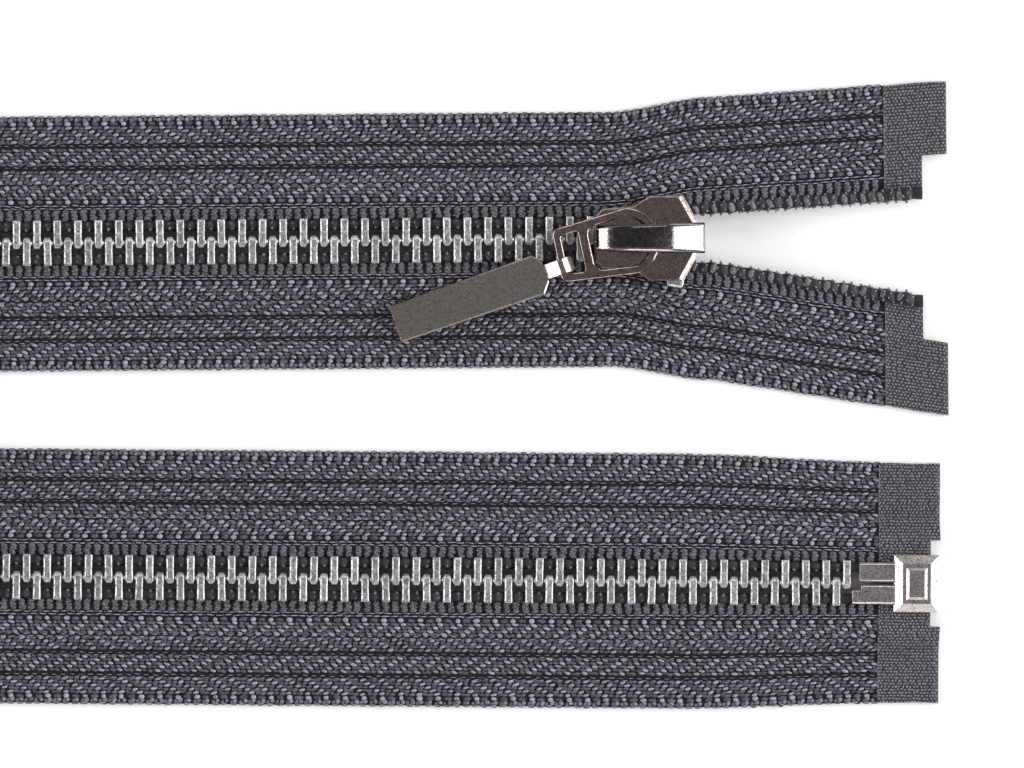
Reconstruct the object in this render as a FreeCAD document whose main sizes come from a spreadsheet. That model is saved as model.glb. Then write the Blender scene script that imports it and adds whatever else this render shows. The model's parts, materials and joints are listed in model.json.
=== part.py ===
import FreeCAD, Part
import math
import os

import Sketcher
from FreeCAD import Placement, Rotation, Vector

# An open-end metal zipper, laid in a U. Both free ends point towards +X with the front face up: the upper arm
# (+Y) ends in the top end with the slider, the lower arm (-Y) ends in the retainer box. Between them the chain
# turns on its outer edge and goes round a standing half turn. The origin is on the floor, under the middle.
#
# An arm has a frame of its own: x runs along the chain towards the free end, y is across it and z is up.

doc = FreeCAD.newDocument("open_end_zipper")

# ---------------------------------------------------------------- driving dimensions, in mm and degrees
DIMENSIONS = {
    # where the arms lie
    "arm_datum_x": 60.0,
    "arm_middle_y": -1.75,
    "arm_half_spread": 21.28,
    "arm_tilt": 0.45,
    "flat_arm_reach": 80.0,
    "twist_length": 70.0,
    # woven tape: a raised inner strip at the chain, a slope, and a flat strip for sewing
    "tape_thickness": 0.45,
    "tape_inner_edge": 2.7,
    "tape_slope_start": 5.7,
    "tape_slope_end": 8.7,
    "tape_outer_edge": 16.1,
    "cord_centre": 2.05,
    "cord_half_width": 0.65,
    # chain
    "chain_height": 2.3,
    "chain_pitch": 2.56,
    "tooth_thickness": 1.0,
    "tooth_half_height": 1.3,
    "tooth_nose": 0.73,
    "tooth_heel": 2.84,
    "tooth_bevel": 0.42,
    "tooth_slot_half": 0.31,
    "tooth_cord_hole_radius": 0.76,
    "nub_height": 0.36,
    "nub_radius": 0.34,
    "dimple_depth": 0.3,
    "dimple_radius": 0.5,
    "last_tooth": 41.8,
    # slider, in stations of the upper arm
    "slider_rear": 10.3,
    "slider_front": 23.1,
    "slider_rear_half": 3.7,
    "slider_wing_half": 5.3,
    "slider_plate": 0.8,
    "slider_height": 4.6,
    "channel_half": 3.1,
    "channel_mouth_half": 4.7,
    "tape_slit_half": 0.55,
    "rim_end": 19.4,
    "cap_half_width": 1.95,
    "cap_rear_half_width": 1.55,
    "cap_rounding": 0.6,
    # opening of the two rows at the slider and of the two tapes past it
    "spread_start": 12.0,
    "spread_end": 25.0,
    "row_spread": 1.75,
    "left_end_spread": 1.9,
    "right_end_spread": 4.8,
    "opening_start": -37.0,
    # pull
    "ring_pivot_x": 17.55,
    "ring_shift": 0.25,
    "ring_pivot_z": 5.6,
    "ring_turn": 11.45,
    "ring_dip": 2.9,
    "ring_thickness": 1.1,
    "ring_length": 12.25,
    "tab_offset": 1.35,
    "tab_turn": 18.6,
    "tab_dip": 8.0,
    "tab_length": 19.1,
    "tab_width": 4.74,
    "tab_shoulder_width": 5.06,
    "tab_thickness": 1.0,
    "eyelet_hole_radius": 0.85,
    "eyelet_width": 1.8,
    # ends
    "stop_start": 19.75,
    "stop_length": 2.0,
    "stop_inner": 1.05,
    "left_stop_outer": 3.95,
    "right_stop_outer": 4.85,
    "film_thickness": 0.08,
    "top_film_start": 46.6,
    "top_inner_end": 51.4,
    "top_outer_end": 54.5,
    "bottom_film_start": 45.8,
    "bottom_end": 53.5,
    "box_start": 47.7,
    "box_length": 5.6,
    "box_half_width": 3.55,
    "box_thickness": 3.9,
    "panel_height": 0.36,
    "pin_half_height": 1.0,
}
sheet = doc.addObject("Spreadsheet::Sheet", "Sizes")
for row, (alias, number) in enumerate(DIMENSIONS.items(), 1):
    sheet.set(f"A{row}", alias)
    sheet.set(f"B{row}", str(number))
    sheet.setAlias(f"B{row}", alias)
doc.recompute()


def size(alias):
    return float(sheet.get(alias))


PITCH = size("chain_pitch")
CHAIN_Z = size("chain_height")
HALF_WIDTH = size("tape_outer_edge")
TILT = math.radians(size("arm_tilt"))
REACH = size("flat_arm_reach")
OPENING_START = size("opening_start")
LEFT, RIGHT = 1, -1
Z = Vector(0, 0, 1)
LEVEL = 1e-3  # how far an edge's bounding box may stand off a plane that it lies in

# ---------------------------------------------------------------- the path of the chain


def arm_placement(arm):
    """Where the frame of the upper (+1) or the lower (-1) arm stands."""
    datum = Vector(size("arm_datum_x"), size("arm_middle_y") + arm * size("arm_half_spread"), 0)
    return Placement(datum, Rotation(Z, arm * size("arm_tilt")))


UPPER = arm_placement(1)
LOWER = arm_placement(-1)

# The standing turn is tangent to both arms' centre lines where their twists end.
TURN_STATION = -(REACH + size("twist_length"))
turn_tangent = UPPER.multVec(Vector(TURN_STATION, 0, 0))
TURN_RADIUS = (turn_tangent.y - size("arm_middle_y")) / math.cos(TILT)
TURN_CENTRE = Vector(turn_tangent.x + TURN_RADIUS * math.sin(TILT), size("arm_middle_y"), HALF_WIDTH)
TURN_ANGLE = math.pi - 2 * TILT
TURN_LENGTH = TURN_RADIUS * TURN_ANGLE


def smooth(value):
    """A step from 0 to 1 that leaves and arrives level."""
    value = min(max(value, 0.0), 1.0)
    return value * value * (3 - 2 * value)


def arm_roll(station):
    """How far the tape has rolled about its length: none on the flat arm, a quarter turn where it stands."""
    return math.pi / 2 * smooth((-REACH - station) / size("twist_length"))


def arm_base(arm, station):
    """Point under the centre line, at the height that keeps the outer edge on the floor."""
    base = (UPPER if arm > 0 else LOWER).multVec(Vector(station, 0, 0))
    base.z = HALF_WIDTH * math.sin(arm_roll(station))
    return base


def arm_frame(arm, station):
    """Point and directions of the tape at a station of an arm: base point, towards the top end, left, front.

    Left of the flat arm, the chain rolls on its outer edge until its front faces outwards.
    """
    along = (arm_base(arm, station + 0.05) - arm_base(arm, station - 0.05)) * arm
    along.normalize()
    level = UPPER.Rotation.multVec(Vector(1, 0, 0)) if arm > 0 else LOWER.Rotation.multVec(Vector(-1, 0, 0))
    roll = arm_roll(station)
    front = Z * math.cos(roll) + Z.cross(level) * math.sin(roll)
    front = front - along * front.dot(along)
    front.normalize()
    return arm_base(arm, station), along, front.cross(along), front


def turn_frame(angle):
    """The same on the standing turn, angle counted from the lower arm's side."""
    heading = -math.pi / 2 + TILT - angle
    front = Vector(math.cos(heading), math.sin(heading), 0)
    base = TURN_CENTRE + front * TURN_RADIUS
    along = Vector(math.sin(heading), -math.cos(heading), 0)
    return base, along, front.cross(along), front


LOWER_START = size("box_start")


def path_frame(place):
    """Frame at a place, which is (stretch, station), or the angle on the turn in place of the station."""
    stretch, station = place
    return turn_frame(station) if stretch == "turn" else arm_frame(1 if stretch == "upper" else -1, station)


def chain_point(place):
    base, _, _, front = path_frame(place)
    return base + front * CHAIN_Z


def chain_places():
    """Places all along the chain from the retainer box to the top end, with their distance along its middle."""
    step = 0.25
    lower = round((LOWER_START - TURN_STATION) / step)
    turn = round(TURN_LENGTH / step)
    upper = round((size("spread_end") - TURN_STATION) / step)
    places = [("lower", LOWER_START + (TURN_STATION - LOWER_START) * i / lower) for i in range(lower + 1)]
    places += [("turn", TURN_ANGLE * i / turn) for i in range(1, turn + 1)]
    places += [("upper", TURN_STATION + step * i) for i in range(1, upper + 1)]
    run = 0.0
    measured = [(0.0, places[0])]
    for before, here in zip(places, places[1:]):
        run += (chain_point(here) - chain_point(before)).Length
        measured.append((run, here))
    return measured


CHAIN = chain_places()


def chain_frame(run):
    """Frame of a tooth at a distance along the chain, and its place. Its x direction follows the chain's middle."""
    after = next(i for i, (reached, _) in enumerate(CHAIN) if reached >= run)
    (low, before), (high, here) = CHAIN[after - 1], CHAIN[after]
    share = (run - low) / (high - low)
    if before[0] == here[0]:
        place = (here[0], before[1] + (here[1] - before[1]) * share)
    else:
        place = here
    base, _, _, front = path_frame(place)
    along = chain_point(here) - chain_point(before)
    along.normalize()
    front_across = front - along * front.dot(along)
    front_across.normalize()
    middle = base + front * CHAIN_Z
    return (middle - front_across * CHAIN_Z, along, front_across.cross(along), front_across), place


def spread(station):
    """How far each row stands out from the centre line near the slider, on the upper arm."""
    reach = size("spread_end") - size("spread_start")
    return size("row_spread") * smooth((station - size("spread_start")) / reach)


def tape_spread(side, station):
    """The same for the tapes, which part further towards the top end."""
    extra = size("left_end_spread") if side == LEFT else size("right_end_spread")
    beyond = (station - size("spread_end")) / (size("top_outer_end") - size("spread_end"))
    return spread(station) + extra * min(max(beyond, 0.0), 1.0)


def frame_placement(frame, side, height, out=0.0):
    """Placement of a piece of one row: x towards the top end, y away from the centre line, z to the front."""
    base, along, left, front = frame
    turn = Rotation(along, left, front, "ZXY")
    flip = Rotation(Vector(1, 0, 0), 0 if side == LEFT else 180)
    return Placement(base + front * height + left * (side * out), turn.multiply(flip))


# ---------------------------------------------------------------- helpers for documents, sketches and solids
pieces = {}


def keep(label, feature):
    """Registers a finished sub-part under its node name."""
    feature.Label = label
    pieces[label] = feature
    return feature


def plane_of(body, role):
    return next(f for f in body.Origin.OriginFeatures if f.Role == role)


def sketch_on(body, name, role="XY_Plane", offset=0.0):
    sketch = body.newObject("Sketcher::SketchObject", name)
    sketch.AttachmentSupport = (plane_of(body, role), [""])
    sketch.MapMode = "FlatFace"
    sketch.AttachmentOffset = Placement(Vector(0, 0, offset), Rotation())
    return sketch


def draw(sketch, outline):
    """Draws a closed outline. A point is (x, y); an arc is (middle x, middle y, end x, end y)."""
    here = Vector(outline[-1][-2], outline[-1][-1], 0)
    drawn = []
    for step in outline:
        end = Vector(step[-2], step[-1], 0)
        if len(step) == 4:
            index = sketch.addGeometry(Part.Arc(here, Vector(step[0], step[1], 0), end), False)
        else:
            index = sketch.addGeometry(Part.LineSegment(here, end), False)
        forward = (sketch.getPoint(index, 1) - here).Length < LEVEL
        drawn.append((index, 1, 2) if forward else (index, 2, 1))
        here = end
    for (index, _, tail), (following, head, _) in zip(drawn, drawn[1:] + drawn[:1]):
        sketch.addConstraint(Sketcher.Constraint("Coincident", index, tail, following, head))


def mirrored(outline_half):
    """Closes a half outline, listed from x- to x+ at y > 0, with its mirror image at y < 0."""
    return outline_half + [(x, -y) for x, y in reversed(outline_half)]


def extrude(body, kind, sketch, length, symmetric=False, reverse=False):
    """A Pad or a Pocket whose length is a cell's alias or an expression on cells."""
    feature = body.newObject("PartDesign::" + kind, kind)
    feature.Profile = sketch
    if symmetric:
        feature.SideType = "Symmetric"
    feature.Reversed = reverse
    feature.setExpression("Length", length)
    sketch.Visibility = False
    doc.recompute()
    return feature


def dress(body, kind, name, chosen, amount):
    """Chamfers or fillets the edges of the body so far that chosen(bounding box) accepts."""
    base = body.Tip
    edges = [f"Edge{n}" for n, edge in enumerate(body.Shape.Edges, 1) if chosen(edge.BoundBox)]
    feature = body.newObject("PartDesign::" + kind, name)
    feature.Base = (base, edges)
    if kind == "Chamfer":
        feature.Size = amount
    else:
        feature.Radius = amount
    doc.recompute()
    return feature


def ribbon(sections):
    """The faces of a solid through equal-count polygon sections: flat triangles, then the two end caps."""
    faces = []
    for one, two in zip(sections, sections[1:]):
        count = len(one)
        for index in range(count):
            after = (index + 1) % count
            # front and back split along the same diagonals, so that the thickness stays even
            if index < count // 2:
                triangles = ((one[index], one[after], two[after]), (one[index], two[after], two[index]))
            else:
                triangles = ((one[index], one[after], two[index]), (one[after], two[after], two[index]))
            for corners in triangles:
                faces.append(Part.Face(Part.makePolygon([*corners, corners[0]])))
    for cap in (sections[0], sections[-1]):
        faces.append(Part.Face(Part.makePolygon([*cap, cap[0]])))
    return faces


def solid_from(faces):
    shell = Part.makeShell(faces)
    shell.sewShape()
    solid = Part.Solid(shell)
    if solid.Volume < 0:
        solid.reverse()
    return solid


def raw(label, shape):
    feature = doc.addObject("Part::Feature", label)
    feature.Shape = shape
    return keep(label, feature)


# ---------------------------------------------------------------- tape and cord sections
def tape_section(relax=0.0):
    """The tape's outline across, (out, height), from the inner edge round. Relaxed, it lies flatter."""
    low = size("tape_inner_edge")
    thick = size("tape_thickness")
    raised = CHAIN_Z - thick / 2
    lifted = raised * (1 - relax) + 0.35 * relax
    shrink = (raised - lifted) * 0.35
    return [
        (low, lifted),
        (size("tape_slope_start"), lifted),
        (size("tape_slope_end") + shrink, 0.0),
        (HALF_WIDTH, 0.0),
        (HALF_WIDTH, thick),
        (size("tape_slope_end") + shrink, thick),
        (size("tape_slope_start"), lifted + thick),
        (low, lifted + thick),
    ]


def cord_section(relax=0.0):
    """The bead cord, an octagon whose flat outer side meets the tape's inner edge."""
    half = size("cord_half_width")
    side = half * math.tan(math.pi / 8)
    height = CHAIN_Z * (1 - relax) + (0.35 + size("tape_thickness") / 2) * relax
    height = max(height, half)
    corners = [(1, -side / half), (side / half, -1), (-side / half, -1), (-1, -side / half)]
    corners += [(x, -y) for x, y in reversed(corners)]
    return [(size("cord_centre") + x * half, height + y * half) for x, y in corners]


def across(frame, side, section, out=0.0):
    """A section's points at a frame of the path."""
    base, _, left, front = frame
    return [base + left * (side * (u + out)) + front * v for u, v in section]


def flat_run(arm, side, section, start, end):
    """A straight stretch of tape or cord on a flat arm."""
    frame = arm_frame(arm, start)
    points = across(frame, side, section)
    face = Part.Face(Part.makePolygon([*points, points[0]]))
    direction = (UPPER if arm > 0 else LOWER).Rotation.multVec(Vector(1, 0, 0))
    return face.extrude(direction * (end - start))


def loop_run(side, section):
    """The stretch that twists up from each arm, and the standing turn between, as one solid."""
    steps = 36
    stations = [-REACH - size("twist_length") * i / steps for i in range(steps + 1)]
    lower = [across(arm_frame(-1, x), side, section) for x in stations]
    upper = [across(arm_frame(1, x), side, section) for x in stations]
    faces = ribbon(lower)[:-1] + ribbon(upper)[:-1]
    first = lower[-1]
    for index, corner in enumerate(first):
        edge = Part.makeLine(corner, first[(index + 1) % len(first)])
        faces.append(edge.revolve(TURN_CENTRE, Z * -1, math.degrees(TURN_ANGLE)))
    return solid_from(faces)


def opening_relax(station):
    """How flat the tape lies: it comes down from the chain's height past the slider."""
    return smooth((station - 26.0) / 22.0)


def opening_run(side, section_at, end):
    """The tape or cord from the start of the opening stretch to the top end."""
    stations = [OPENING_START]
    stations += [size("spread_start") + i for i in range(14)]
    stations += [29.0, 33.0, 37.0, 41.0, 44.0, size("top_film_start"), 48.0, size("top_inner_end")]
    stations += [end] if end > size("top_inner_end") else []
    rows = []
    for station in stations:
        outline = section_at(opening_relax(station))
        rows.append(across(arm_frame(1, station), side, outline, tape_spread(side, station)))
    return solid_from(ribbon(rows))


def corner_box(x0, x1, y0, y1, z0, z1):
    return Part.makeBox(x1 - x0, y1 - y0, z1 - z0, Vector(x0, y0, z0))


def on_arm(placement, shape):
    shape.Placement = placement.multiply(shape.Placement)
    return shape


# ---------------------------------------------------------------- tapes, cords
def build_tapes():
    """Each tape and each cord is one woven piece, modelled in four stretches along the path."""
    inner_cut_from = size("top_inner_end")
    step_edge = 9.8
    for name, side in (("left", LEFT), ("right", RIGHT)):
        top = opening_run(side, tape_section, size("top_outer_end"))
        out = tape_spread(side, inner_cut_from)
        low, high = sorted((side * (out - 1), side * (step_edge + out - 3.0)))
        cut = corner_box(inner_cut_from, 60, low, high, -1, 9)
        top = top.cut(on_arm(UPPER, cut))
        raw(f"{name}_tape_top", top.Solids[0])
        raw(f"{name}_tape_upper", flat_run(1, side, tape_section(), -REACH, OPENING_START))
        raw(f"{name}_tape_loop", loop_run(side, tape_section()))
        lower = flat_run(-1, side, tape_section(), -REACH, size("bottom_end"))
        notch_low, notch_high = sorted((side * -1.0, side * -5.7))
        notch = corner_box(52.3, 60, notch_low, notch_high, -1, 9)
        raw(f"{name}_tape_lower", lower.cut(on_arm(LOWER, notch)).Solids[0])
        raw(f"{name}_cord_top", opening_run(side, cord_section, inner_cut_from))
        raw(f"{name}_cord_upper", flat_run(1, side, cord_section(), -REACH, OPENING_START))
        raw(f"{name}_cord_loop", loop_run(side, cord_section()))
        raw(f"{name}_cord_lower", flat_run(-1, side, cord_section(), -REACH, 51.9))


# ---------------------------------------------------------------- teeth
def tooth_body():
    """One tooth: a nose with a nub and a dimple that mesh, and two legs clamped round the cord."""
    body = doc.addObject("PartDesign::Body", "tooth_pattern")
    profile = sketch_on(body, "tooth_profile", "YZ_Plane")
    high = size("tooth_half_height")
    slot = size("tooth_slot_half")
    bevel = size("tooth_bevel")
    nose = -size("tooth_nose")
    heel = size("tooth_heel")
    centre = size("cord_centre")
    hole = size("tooth_cord_hole_radius")
    throat = centre + math.sqrt(hole * hole - slot * slot)
    draw(
        profile,
        [
            (nose + bevel, high),
            (heel - 0.3, high),
            (heel, high - 0.4),
            (heel, slot),
            (throat, slot),
            (centre - hole, 0.0, throat, -slot),
            (heel, -slot),
            (heel, 0.4 - high),
            (heel - 0.3, -high),
            (nose + bevel, -high),
            (nose, bevel - high + 0.1),
            (nose, high - bevel - 0.1),
        ],
    )
    extrude(body, "Pad", profile, "Sizes.tooth_thickness", symmetric=True)
    half = size("tooth_thickness") / 2
    nub = sketch_on(body, "nub_outline", "YZ_Plane", half)
    nub.addGeometry(Part.Circle(Vector(0, 0, 0), Z, size("nub_radius")), False)
    nub.addConstraint(Sketcher.Constraint("Coincident", 0, 3, -1, 1))
    nub.addConstraint(Sketcher.Constraint("Radius", 0, size("nub_radius")))
    nub.setExpression("Constraints[1]", "Sizes.nub_radius")
    extrude(body, "Pad", nub, "Sizes.nub_height")
    dimple = sketch_on(body, "dimple_outline", "YZ_Plane", -half)
    dimple.addGeometry(Part.Circle(Vector(0, 0, 0), Z, size("dimple_radius")), False)
    dimple.addConstraint(Sketcher.Constraint("Coincident", 0, 3, -1, 1))
    dimple.addConstraint(Sketcher.Constraint("Radius", 0, size("dimple_radius")))
    dimple.setExpression("Constraints[1]", "Sizes.dimple_radius")
    extrude(body, "Pocket", dimple, "Sizes.dimple_depth", reverse=True)
    return body


def tooth_runs(side):
    """Distances of one row's teeth from the box, the right row half a pitch on from the left."""
    run = LOWER_START - size("last_tooth") + (0 if side == RIGHT else PITCH / 2)
    last = next(reached for reached, place in CHAIN if place == ("upper", place[1]) and place[1] > 18.7)
    runs = []
    while run <= last:
        runs.append(run)
        run += PITCH
    return runs


def tooth_group(place):
    stretch, station = place
    if stretch == "turn" or station < -REACH:
        return "loop"
    if stretch == "lower":
        return "lower"
    return "upper" if station < OPENING_START else "top"


def build_teeth(tooth):
    """Rows of teeth, one node per stretch, so that each stretch moves with its tape."""
    for name, side in (("left", LEFT), ("right", RIGHT)):
        groups = {"lower": [], "loop": [], "upper": [], "top": []}
        for run in tooth_runs(side):
            (base, along, left, front), place = chain_frame(run)
            group = tooth_group(place)
            if group == "top":
                station = place[1]
                base = base + left * (side * spread(station))
                slope = (spread(station + 0.1) - spread(station - 0.1)) / 0.2
                along = Rotation(front, math.degrees(math.atan(side * slope))).multVec(along)
            copy = tooth.Shape.copy()
            copy.Placement = frame_placement((base, along, front.cross(along), front), side, CHAIN_Z)
            groups[group].append(copy)
        for group, solids in groups.items():
            raw(f"{name}_teeth_{group}", Part.makeCompound(solids))


# ---------------------------------------------------------------- slider
def left_gap_station():
    """Middle of the gap between two left teeth, under the slider's top plate, where the pawl bites."""
    places = [chain_frame(run)[1] for run in tooth_runs(LEFT)]
    gaps = [station + PITCH / 2 for stretch, station in places if stretch == "upper"]
    return min(gaps, key=lambda station: abs(station - 13.9))


def plate_outline():
    wing = size("slider_wing_half")
    rear = size("slider_rear_half")
    x0 = size("slider_rear")
    x1 = size("slider_front")
    half = [(x0, rear - 1.0), (x0 + 0.9, rear), (15.1, 4.0), (17.2, wing), (21.4, wing), (x1, 2.2)]
    return mirrored(half)


def build_slider():
    """Two plates joined by the wedge that parts the rows, with rims that turn in round the chain."""
    body = doc.addObject("PartDesign::Body", "slider_body")
    rear = size("slider_rear")
    front = size("slider_front")
    outline = sketch_on(body, "plate_outline")
    draw(outline, plate_outline())
    extrude(body, "Pad", outline, "Sizes.slider_height")
    plate = size("slider_plate")
    mouth = size("channel_mouth_half")
    narrow = size("channel_half")
    wedge = [(18.4, 0.0), (20.6, 0.75), (front + 1, 1.0)]
    channel = sketch_on(body, "row_channel", offset=plate)
    half = [(rear - 1, narrow), (14.0, narrow), (18.6, mouth), (front + 1, mouth)]
    draw(channel, half + [(x, y) for x, y in reversed(wedge)] + [(x, -y) for x, y in wedge[1:]]
         + [(x, -y) for x, y in reversed(half)])
    extrude(body, "Pocket", channel, "Sizes.slider_height - 2 * Sizes.slider_plate", reverse=True)
    for name, sign in (("left", 1), ("right", -1)):
        slit = sketch_on(body, f"{name}_tape_slit", offset=CHAIN_Z - size("tape_slit_half"))
        slit_outline = [(rear - 1, 7), (front + 1, 7), (front + 1, 2.9), (rear - 1, 2.9)]
        draw(slit, [(x, sign * y) for x, y in slit_outline])
        extrude(body, "Pocket", slit, "2 * Sizes.tape_slit_half", reverse=True)
        open_mouth = sketch_on(body, f"{name}_open_mouth", offset=plate)
        rim_end = size("rim_end")
        mouth_outline = [(rim_end, 7), (front + 1, 7), (front + 1, 4.0), (rim_end, 4.0)]
        draw(open_mouth, [(x, sign * y) for x, y in mouth_outline])
        extrude(body, "Pocket", open_mouth, "Sizes.slider_height - 2 * Sizes.slider_plate", reverse=True)
    pawl_hole = sketch_on(body, "pawl_hole", offset=size("slider_height"))
    gap = left_gap_station()
    draw(pawl_hole, [(gap - 0.5, 0.7), (gap - 0.5, 1.7), (gap + 0.5, 1.7), (gap + 0.5, 0.7)])
    extrude(body, "Pocket", pawl_hole, "Sizes.slider_plate")
    lugs = sketch_on(body, "cap_lugs", offset=size("slider_height"))
    draw(lugs, [(11.3, -0.9), (11.3, 0.9), (12.2, 0.9), (12.2, -0.9)])
    draw(lugs, [(21.2, -0.9), (21.2, 0.9), (22.8, 0.9), (22.8, -0.9)])
    extrude(body, "Pad", lugs, "0.7")
    height = size("slider_height")

    def plate_rim(box):
        level = box.ZLength < LEVEL and min(abs(box.ZMin - height), abs(box.ZMin)) < LEVEL
        wide = max(abs(box.YMin), abs(box.YMax)) > 2.6
        return level and wide and not front_corner(box)

    def front_corner(box):
        slanted = box.XLength > 1 and box.YLength > 1
        return box.ZLength < LEVEL and abs(box.ZMin - height) < LEVEL and box.XMin > 21 and slanted

    dress(body, "Chamfer", "front_corner_bevel", front_corner, 0.42)
    dress(body, "Chamfer", "plate_bevel", plate_rim, 0.22)
    body.Placement = UPPER
    return keep("slider_body", body)


def build_cap():
    """The arched crown over the lock. Its feet close over the lugs of the slider's top plate."""
    body = doc.addObject("PartDesign::Body", "slider_cap")
    top = size("slider_height")
    profile = sketch_on(body, "arch_profile", "XZ_Plane")
    draw(
        profile,
        [
            (10.5, top + 0.02),
            (10.5, 5.35),
            (17.2, 7.8, 24.05, 5.35),
            (24.05, 4.85),
            (23.3, top + 0.02),
            (20.6, top + 0.02),
            (20.6, 6.0),
            (16.8, 6.85, 12.9, 6.0),
            (12.9, top + 0.02),
        ],
    )
    extrude(body, "Pad", profile, "2 * Sizes.cap_half_width", symmetric=True)
    taper = sketch_on(body, "side_taper")
    rear, front = 10.0, 24.5
    side = [(rear, size("cap_rear_half_width")), (front, size("cap_half_width")), (front, 3.0), (rear, 3.0)]
    draw(taper, side)
    draw(taper, [(x, -y) for x, y in side])
    extrude(body, "Pocket", taper, "9", reverse=True)
    socket = sketch_on(body, "lug_sockets", offset=top)
    draw(socket, [(11.28, -0.92), (11.28, 0.92), (12.22, 0.92), (12.22, -0.92)])
    draw(socket, [(21.18, -0.92), (21.18, 0.92), (22.82, 0.92), (22.82, -0.92)])
    extrude(body, "Pocket", socket, "0.72", reverse=True)

    def crown(box):
        return box.ZMax > 7.0

    dress(body, "Fillet", "arch_rounding", crown, size("cap_rounding"))
    body.Placement = UPPER
    return keep("slider_cap", body)


def build_lock():
    """The pawl that bites between two teeth, and the leaf spring that presses it down."""
    gap = left_gap_station()
    pawl = doc.addObject("PartDesign::Body", "lock_pawl")
    tip = sketch_on(pawl, "pawl_tip", offset=3.2)
    draw(tip, [(gap - 0.35, 0.85), (gap - 0.35, 1.35), (gap + 0.35, 1.35), (gap + 0.35, 0.85)])
    extrude(pawl, "Pad", tip, "1.75")
    head = sketch_on(pawl, "pawl_head", offset=4.75)
    draw(head, [(13.1, -0.9), (13.1, 1.35), (15.9, 1.35), (15.9, -0.9)])
    extrude(pawl, "Pad", head, "0.45")
    pawl.Placement = UPPER
    keep("lock_pawl", pawl)
    spring = doc.addObject("PartDesign::Body", "lock_spring")
    leaf = sketch_on(spring, "leaf_profile", "XZ_Plane")
    draw(leaf, [(12.92, 5.85), (12.92, 6.03), (14.2, 6.03), (16.1, 5.45), (16.1, 5.25), (14.15, 5.85)])
    extrude(spring, "Pad", leaf, "1.8", symmetric=True)
    spring.Placement = UPPER
    keep("lock_spring", spring)


# ---------------------------------------------------------------- pull
def pull_frames():
    """Placements of the ring and of the tab, each with its hinge line along its own y and its far end at +x."""
    pivot = Vector(size("ring_pivot_x"), size("ring_shift"), size("ring_pivot_z"))
    heading = Rotation(Z, 180 + size("ring_turn"))
    ring = Placement(pivot, heading.multiply(Rotation(Vector(0, 1, 0), size("ring_dip"))))
    ring = UPPER.multiply(ring)
    bar = ring.multVec(Vector(size("ring_length") - size("ring_thickness") / 2, size("tab_offset"), 0))
    heading = UPPER.Rotation.multiply(Rotation(Z, 180 + size("tab_turn")))
    tab = Placement(bar, heading.multiply(Rotation(Vector(0, 1, 0), size("tab_dip"))))
    return ring, tab


RING_FRAME, TAB_FRAME = pull_frames()


def build_ring():
    """The link between slider and tab: a flat drop-shaped ring with a crossbar."""
    body = doc.addObject("PartDesign::Body", "pull_ring")
    end = size("ring_length")
    half = size("ring_thickness") / 2
    outline = sketch_on(body, "ring_outline", offset=-half)
    draw(outline, [(2.6, -4.2), (-0.75, 0.0, 2.6, 4.2), (end - 1.0, 3.45), (end - 0.3, 3.15, end, 2.5),
                   (end, -2.5), (end - 0.3, -3.15, end - 1.0, -3.45)])
    draw(outline, [(2.7, -3.15), (0.45, 0.0, 2.7, 3.15), (6.8, 2.77), (7.5, 2.4, 7.8, 1.7),
                   (7.8, -1.7), (7.5, -2.4, 6.8, -2.77)])
    draw(outline, [(9.1, 2.2), (9.22, 2.45, 9.5, 2.5), (10.8, 2.38), (11.1, 2.25, end - 1.05, 2.0),
                   (end - 1.05, -2.0), (11.1, -2.25, 10.8, -2.38), (9.5, -2.5), (9.22, -2.45, 9.1, -2.2)])
    extrude(body, "Pad", outline, "Sizes.ring_thickness")
    journal = sketch_on(body, "journal", "XZ_Plane")
    journal.addGeometry(Part.Circle(Vector(0, 0, 0), Z, half - 0.05), False)
    journal.addConstraint(Sketcher.Constraint("Coincident", 0, 3, -1, 1))
    journal.addConstraint(Sketcher.Constraint("Radius", 0, half - 0.05))
    journal.setExpression("Constraints[1]", "Sizes.ring_thickness / 2 - 0.05")
    extrude(body, "Pad", journal, "2 * Sizes.cap_half_width", symmetric=True)
    body.Placement = RING_FRAME
    return keep("pull_ring", body)


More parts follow.
